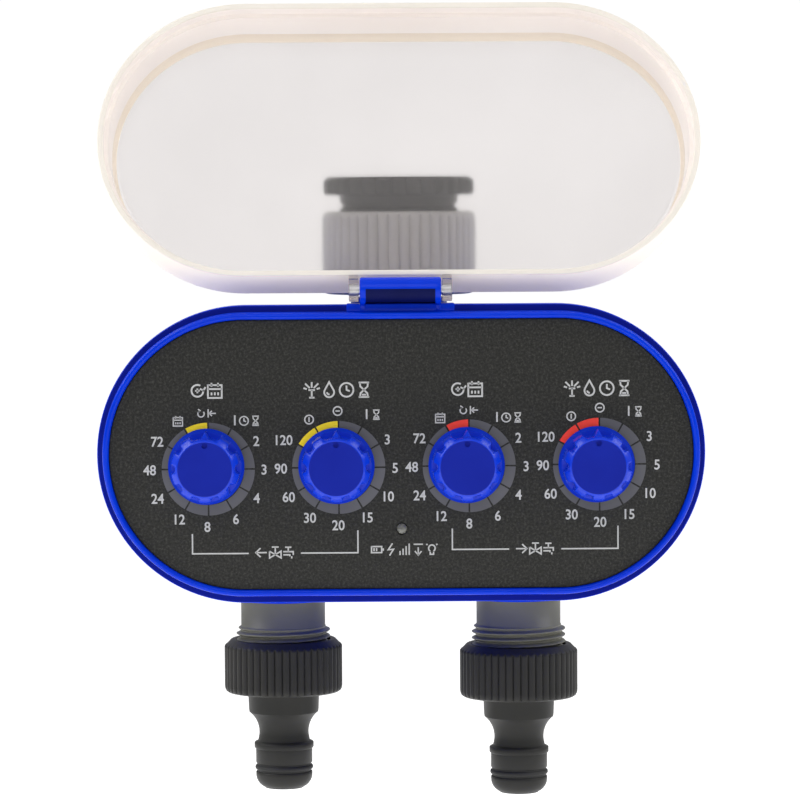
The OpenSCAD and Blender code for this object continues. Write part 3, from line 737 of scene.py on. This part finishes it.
def inlet_reducer():
    profile = [(12.1, 61), (12.1, 73.7), (12.4, 74), (19.6, 74), (20.0, 73.8), (20.2, 73.4), (20.8, 73.2)]
    profile += [(21.0, 72.8), (21.0, 69.9), (20.8, 69.4), (20.2, 69.1), (16.9, 69.1), (16.4, 68.6)]
    profile += [(16.4, 67.2), (15.4, 66), (16.6, 65), (15.4, 63.8), (15.4, 52), (8.5, 52), (8.5, 61)]
    bm = bmesh.new()
    turned(bm, profile, standing(0), 30 * 16, reducer_head)
    settle(new_object("reducer_bush", bm), "housing", FITTING_BLACK,
           ["inlet_reducer"], 40)


# ---------- print on the panel ----------

PRINT_T = 0.04
RING_SHIFT = (0.6, -0.5)
RING_DRIFT = (0.1, 0.22)
LABEL_SHIFT = (-0.2, -0.35)
LABEL_DRIFT = 0.16
RING_INNER = 9.6
RING_OUTER = 12.45
LABEL_R = 15.3


def stroke(bm, points, width, closed=False):
    """A mitred ribbon of (x, up) points on the panel."""
    count = len(points)
    sides = []
    for i, (x, up) in enumerate(points):
        before = points[i - 1] if closed or i > 0 else None
        after = points[(i + 1) % count] if closed or i < count - 1 else None
        runs = []
        for start, end in ((before, (x, up)), ((x, up), after)):
            if start and end:
                dx, dy = end[0] - start[0], end[1] - start[1]
                length = math.hypot(dx, dy) or 1.0
                runs.append((dx / length, dy / length))
        tx = sum(run[0] for run in runs)
        ty = sum(run[1] for run in runs)
        length = math.hypot(tx, ty) or 1.0
        tx, ty = tx / length, ty / length
        spread = width / 2 / max(0.45, abs(tx * runs[0][0] + ty * runs[0][1]))
        lift = PANEL_OUT + PRINT_T
        left = bm.verts.new(facing(x - ty * spread, up + tx * spread, lift))
        right = bm.verts.new(facing(x + ty * spread, up - tx * spread, lift))
        sides.append((left, right))
    pairs = list(zip(sides, sides[1:]))
    if closed:
        pairs.append((sides[-1], sides[0]))
    for (a, b), (c, d) in pairs:
        bm.faces.new((a, b, d, c))


def circle(cx, cy, r, start=0, end=360, steps=16):
    turn = [math.radians(start + (end - start) * i / steps) for i in range(steps + 1)]
    return [(cx + r * math.cos(a), cy + r * math.sin(a)) for a in turn]


# Each sign is a list of strokes of (x, y) points in a unit square about its centre.
SIGNS = {
    "cycle": [circle(0, 0, 0.36, 60, 370, 20), [(0.16, 0.12), (0.36, 0.02), (0.5, 0.22)],
              [(0, -0.14), (0, 0.14)], [(-0.14, 0), (0.14, 0)]],
    "calendar": [[(-0.42, 0.34), (0.42, 0.34), (0.42, -0.44), (-0.42, -0.44), (-0.42, 0.38)],
                 [(-0.42, 0.1), (0.42, 0.1)], [(-0.2, 0.48), (-0.2, 0.24)], [(0.2, 0.48), (0.2, 0.24)],
                 [(-0.2, -0.1), (-0.2, -0.28)], [(0.0, -0.1), (0.0, -0.28)], [(0.2, -0.1), (0.2, -0.28)]],
    "sprinkler": [[(-0.16, -0.46), (0.16, -0.46)], [(0, -0.46), (0, 0.02)], [(-0.2, 0.0), (0.2, 0.0)],
                  [(-0.12, 0.12), (-0.4, 0.4)], [(0, 0.14), (0, 0.48)], [(0.12, 0.12), (0.4, 0.4)],
                  [(-0.3, 0.06), (-0.5, 0.12)], [(0.3, 0.06), (0.5, 0.12)]],
    "drop": [circle(0, -0.14, 0.3, 152, 388, 16) + [(0, 0.48), (-0.265, 0.0)],
             circle(0, -0.14, 0.13, 180, 280, 6)],
    "clock": [circle(0, 0, 0.42, 0, 360, 20), [(0, 0.26), (0, 0), (0.2, -0.08)]],
    "hourglass": [[(-0.32, 0.44), (0.32, 0.44)], [(-0.32, -0.44), (0.32, -0.44)],
                  [(-0.24, 0.44), (-0.22, 0.2), (0.2, -0.2), (0.24, -0.44)],
                  [(0.24, 0.44), (0.22, 0.2), (-0.2, -0.2), (-0.24, -0.44)], [(-0.12, -0.3), (0.12, -0.3)]],
    "arrow_left": [[(0.42, 0), (-0.4, 0)], [(-0.06, 0.34), (-0.42, 0), (-0.06, -0.34)]],
    "arrow_right": [[(-0.42, 0), (0.4, 0)], [(0.06, 0.34), (0.42, 0), (0.06, -0.34)]],
    "valve": [[(-0.44, 0.1), (-0.44, -0.42), (0.44, 0.1), (0.44, -0.42), (-0.44, 0.1)],
              [(0, -0.12), (0, 0.4)], [(-0.26, 0.42), (0.26, 0.42)]],
    "tap": [[(-0.46, 0.06), (0.3, 0.06), (0.3, -0.2)], [(-0.46, -0.18), (0.04, -0.18), (0.04, -0.3)],
            [(-0.08, 0.06), (-0.08, 0.36)], [(-0.32, 0.4), (0.16, 0.4)], [(0.18, -0.3), (0.18, -0.46)]],
    "battery": [[(-0.46, 0.24), (0.34, 0.24), (0.34, -0.24), (-0.46, -0.24), (-0.46, 0.28)],
                [(0.46, 0.1), (0.46, -0.1)], [(-0.26, 0.12), (-0.26, -0.12)],
                [(-0.06, 0.12), (-0.06, -0.12)]],
    "bolt": [[(0.12, 0.48), (-0.22, -0.02), (0.2, 0.02), (-0.12, -0.48)]],
    "bars": [[(-0.36, -0.44), (-0.36, -0.12)], [(-0.12, -0.44), (-0.12, 0.06)],
             [(0.12, -0.44), (0.12, 0.26)], [(0.36, -0.44), (0.36, 0.46)]],
    "pointer": [[(-0.36, 0.4), (0.36, 0.4)], [(0, -0.46), (0, 0.16)],
                [(-0.26, -0.14), (0, -0.46), (0.26, -0.14)]],
    "lamp": [circle(0, 0.08, 0.26, -60, 240, 14),
             [(-0.13, -0.2), (-0.13, -0.4), (0.13, -0.4), (0.13, -0.2)],
             [(-0.44, 0.42), (-0.34, 0.34)], [(0.44, 0.42), (0.34, 0.34)]],
    "off": [circle(0, 0, 0.4, 0, 360, 18), [(-0.2, 0), (0.2, 0)]],
    "on": [circle(0, 0, 0.4, 0, 360, 18), [(0, -0.22), (0, 0.22)]],
    "reset": [circle(0, -0.04, 0.34, 110, 400, 16), [(-0.32, 0.46), (-0.1, 0.3), (-0.3, 0.1)]],
    "home": [[(-0.4, 0.44), (-0.4, -0.44)], [(0.42, 0), (-0.26, 0)],
             [(0.0, 0.28), (-0.28, 0), (0.0, -0.28)]],
}


def write_signs(bm, names, x, up, size, pitch, width):
    """A row of signs, centred on x."""
    for k, name in enumerate(names):
        centre = x + (k - (len(names) - 1) / 2) * pitch
        for points in SIGNS[name]:
            stroke(bm, [(centre + px * size, up + py * size) for px, py in points], width)


def write_number(bm, text, x, up, height=2.62):
    """Bold, slightly narrow figures, centred, as flat mesh on the panel."""
    curve = bpy.data.curves.new("figures", "FONT")
    curve.body = text
    curve.size = height / 0.7
    curve.align_x = "CENTER"
    curve.align_y = "CENTER"
    curve.offset = 0.06
    curve.resolution_u = 4
    writing = bpy.data.objects.new("figures", curve)
    bpy.context.scene.collection.objects.link(writing)
    bpy.context.view_layer.update()
    mesh = writing.to_mesh()
    narrow = 0.92
    lift = PANEL_OUT + PRINT_T
    made = [bm.verts.new(facing(x + narrow * v.co.x, up + v.co.y, lift)) for v in mesh.vertices]
    for face in mesh.polygons:
        bm.faces.new([made[i] for i in face.vertices])
    writing.to_mesh_clear()
    bpy.data.objects.remove(writing)


def printed(name, bm, material):
    """Turns flat print into a thin layer on the panel."""
    for face in bm.faces:
        face.normal_update()
        if face.normal.y > 0:
            face.normal_flip()
    mesh = bpy.data.meshes.new(name)
    bm.to_mesh(mesh)
    bm.free()
    layer = bpy.data.objects.new(name, mesh)
    bpy.context.scene.collection.objects.link(layer)
    thick = layer.modifiers.new("thick", "SOLIDIFY")
    thick.thickness = 0.8 * PRINT_T * MM
    thick.offset = -1
    apply_modifiers(layer)
    layer.data.materials.append(material)
    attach(layer, "housing")


def ring_part(bm, cx, cy, first):
    """One twelfth of a dial's ring; first counts clockwise from the top."""
    gap = math.degrees(0.24 / RING_OUTER)
    start, end = 90 - 30 * first - gap, 60 - 30 * first + gap
    inner = [bm.verts.new(facing(px, py, PANEL_OUT + PRINT_T)) for px, py in
             circle(cx, cy, RING_INNER, start, end, 10)]
    outer = [bm.verts.new(facing(px, py, PANEL_OUT + PRINT_T)) for px, py in
             circle(cx, cy, RING_OUTER, start, end, 10)]
    for k in range(10):
        bm.faces.new((inner[k], inner[k + 1], outer[k + 1], outer[k]))


def dial_ring(number, cx, cy, marked, mark):
    """A ring of twelve parts, with the marked parts in a colour."""
    for name, parts, material in (
        ("ring", [k for k in range(12) if k not in marked], PRINT_GREY),
        ("mark", marked, mark),
    ):
        bm = bmesh.new()
        for k in parts:
            ring_part(bm, cx, cy, k)
        printed(f"dial_{name}_{number}", bm, material)


HOURS = ["2", "3", "4", "6", "8", "12", "24", "48", "72"]
MINUTES = ["3", "5", "10", "15", "20", "30", "60", "90", "120"]


def on_dial(cx, cy, hour, r=LABEL_R):
    a = math.radians(90 - 30 * hour)
    return cx + r * math.cos(a), cy + r * math.sin(a)


def interval_dial(bm, cx, cy):
    """Hours between waterings: reset at the top, a week at eleven o'clock."""
    write_signs(bm, ["reset", "home"], *on_dial(cx, cy, 0), 2.5, 2.9, 0.34)
    x, up = on_dial(cx, cy, 1)
    write_number(bm, "1", x - 0.1, up)
    write_signs(bm, ["clock", "hourglass"], x + 3.9, up, 2.8, 3.1, 0.34)
    for k, text in enumerate(HOURS):
        write_number(bm, text, *on_dial(cx, cy, k + 2))
    write_signs(bm, ["calendar"], *on_dial(cx, cy, 11), 2.9, 3.0, 0.34)


def duration_dial(bm, cx, cy):
    """Minutes of watering: off at the top, on at eleven o'clock."""
    write_signs(bm, ["off"], *on_dial(cx, cy, 0, 15.5), 2.9, 3.0, 0.36)
    x, up = on_dial(cx, cy, 1)
    write_number(bm, "1", x + 0.1, up + 1.2)
    write_signs(bm, ["hourglass"], x + 2.7, up + 1.2, 2.8, 3.0, 0.34)
    for k, text in enumerate(MINUTES):
        x, up = on_dial(cx, cy, k + 2)
        write_number(bm, text, x - (1.4 if text == "120" else 0), up)
    write_signs(bm, ["on"], *on_dial(cx, cy, 11), 2.9, 3.0, 0.36)


TITLE_X = [-52.1, -16.9, 17.5, 52.7]
TITLE_UP = 17.3
BRACKETS = [
    [(-56.1, -21.1), (-56.1, -26.4), (-41.1, -26.4)],
    [(-27.1, -26.4), (-11.8, -26.4), (-11.8, -20.4)],
    [(13.5, -20.1), (13.5, -25.7), (28.7, -25.7)],
    [(42.7, -25.7), (57.9, -25.7), (57.9, -19.6)],
]


def panel_print():
    marks = [([11], PRINT_YELLOW), ([10, 11], PRINT_YELLOW), ([11], PRINT_RED), ([10, 11], PRINT_RED)]
    for number, (x, (marked, colour)) in enumerate(zip(KNOB_X, marks), 1):
        drift = number - 2
        cx = x + RING_SHIFT[0] + RING_DRIFT[0] * drift
        cy = KNOB_UP + RING_SHIFT[1] + RING_DRIFT[1] * drift
        dial_ring(number, cx, cy, marked, colour)
        bm = bmesh.new()
        draw = interval_dial if number % 2 else duration_dial
        draw(bm, cx + LABEL_SHIFT[0] + LABEL_DRIFT * drift, cy + LABEL_SHIFT[1])
        signs = ["cycle", "calendar"] if number % 2 else ["sprinkler", "drop", "clock", "hourglass"]
        write_signs(bm, signs, TITLE_X[number - 1], TITLE_UP, 4.4, 4.65, 0.46)
        printed(f"dial_labels_{number}", bm, PRINT_WHITE)
    bm = bmesh.new()
    for line in BRACKETS:
        stroke(bm, line, 0.38)
    write_signs(bm, ["arrow_left", "valve", "tap"], -33.95, -26.2, 3.5, 3.75, 0.38)
    write_signs(bm, ["arrow_right", "valve", "tap"], 35.75, -25.6, 3.5, 3.75, 0.38)
    write_signs(bm, ["battery", "bolt", "bars", "pointer", "lamp"], 0.7, -25.6, 3.4, 3.65, 0.38)
    printed("panel_legends", bm, PRINT_WHITE)


# ---------- stage, light and camera ----------


def floor():
    """A white floor that glows a little, so that it meets the backdrop without a line."""
    s = Surface("floor_white", 0.8, 0.1)
    s.colour(s.noise(4, 2), [(0.3, (250, 250, 250)), (0.7, (252, 252, 252))])
    s.set(Emission_Color=(1, 1, 1, 1), Emission_Strength=0.55)
    drop = CAD_BOX[0][2] - 0.12
    bm = bmesh.new()
    bm.faces.new([bm.verts.new((x, y, drop)) for x, y in ((-6, -6), (6, -6), (6, 6), (-6, 6))])
    piece = new_object("floor", bm)
    piece.data.materials.append(s.material)


def area_light(name, place, target, size, power):
    data = bpy.data.lights.new(name, "AREA")
    data.shape = "RECTANGLE"
    data.size, data.size_y = size
    data.energy = power
    light = bpy.data.objects.new(name, data)
    bpy.context.scene.collection.objects.link(light)
    light.location = place
    light.rotation_euler = (Vector(target) - Vector(place)).to_track_quat("-Z", "Y").to_euler()
    light.visible_camera = False


def room_strength(nodes, links):
    """A room that is dim below and in front, and bright above and behind."""
    coords = nodes.new("ShaderNodeTexCoord")
    split = nodes.new("ShaderNodeSeparateXYZ")
    links.new(coords.outputs["Generated"], split.inputs["Vector"])
    blend = nodes.new("ShaderNodeMath")
    blend.operation = "MULTIPLY_ADD"
    blend.inputs[1].default_value = 0.5
    links.new(split.outputs["Y"], blend.inputs[0])
    links.new(split.outputs["Z"], blend.inputs[2])
    ramp = nodes.new("ShaderNodeMapRange")
    ramp.inputs["From Min"].default_value = -0.7
    ramp.inputs["From Max"].default_value = 0.9
    ramp.inputs["To Min"].default_value = 0.05
    ramp.inputs["To Max"].default_value = 0.6
    links.new(blend.outputs["Value"], ramp.inputs["Value"])
    return ramp.outputs["Result"]


def seen_directly(nodes, links):
    """One for what the camera sees, straight on or through the lid."""
    path = nodes.new("ShaderNodeLightPath")
    seen = nodes.new("ShaderNodeMath")
    seen.operation = "MAXIMUM"
    links.new(path.outputs["Is Camera Ray"], seen.inputs[0])
    links.new(path.outputs["Is Transmission Ray"], seen.inputs[1])
    return seen.outputs["Value"]


def studio_world():
    """White to the camera and through the lid, and a soft room to the rest."""
    world = bpy.data.worlds.new("studio")
    bpy.context.scene.world = world
    world.use_nodes = True
    nodes, links = world.node_tree.nodes, world.node_tree.links
    room = nodes["Background"]
    room.inputs["Color"].default_value = (1, 1, 1, 1)
    links.new(room_strength(nodes, links), room.inputs["Strength"])
    sight = nodes.new("ShaderNodeBackground")
    sight.inputs["Color"].default_value = (1, 1, 1, 1)
    sight.inputs["Strength"].default_value = 1.02
    mix = nodes.new("ShaderNodeMixShader")
    links.new(seen_directly(nodes, links), mix.inputs["Fac"])
    links.new(room.outputs["Background"], mix.inputs[1])
    links.new(sight.outputs["Background"], mix.inputs[2])
    links.new(mix.outputs["Shader"], nodes["World Output"].inputs["Surface"])


CAMERA_AT = Vector((-0.0087, -1.1065, -0.0024))
CAMERA_AIM = Vector((-0.0003, -0.0555, -0.0595))
CAMERA_ROLL = math.radians(-0.35)


def camera():
    data = bpy.data.cameras.new("camera")
    data.lens = 177.2
    data.sensor_width = 36
    data.clip_end = 50
    view = bpy.data.objects.new("camera", data)
    bpy.context.scene.collection.objects.link(view)
    turn = (CAMERA_AIM - CAMERA_AT).to_track_quat("-Z", "Y").to_matrix().to_4x4()
    view.matrix_world = Matrix.Translation(CAMERA_AT) @ turn @ Matrix.Rotation(CAMERA_ROLL, 4, "Z")
    bpy.context.scene.camera = view


dress_cad_nodes()
front_shell()
shell_collars()
hinge_barrel()
hinge_web()
hinge_cheeks()
control_panel()
lid_tray()
lid_lugs()
for number, x in enumerate(KNOB_X, 1):
    knob_body(number, x)
    knob_pointer(number, x)
for side, sign, drop in (("left", -1, 0), ("right", 1, RIGHT_DROP)):
    outlet_pipe(side, sign * OUTLET_X)
    outlet_adapter(side, sign * OUTLET_X, drop)
swivel_nut()
inlet_reducer()
panel_print()

floor()
studio_world()
area_light("left_softbox", (-1.0, -0.15, 0.8), (0, 0, -0.06), (0.9, 0.9), 9.5)
area_light("right_softbox", (1.0, -0.15, 0.7), (0, 0, -0.06), (0.9, 0.9), 7)
area_light("front_fill", (-0.2, -1.5, 1.2), (0, 0, -0.08), (1.2, 0.8), 4.6)
camera()
bpy.context.scene.view_settings.view_transform = "Standard"
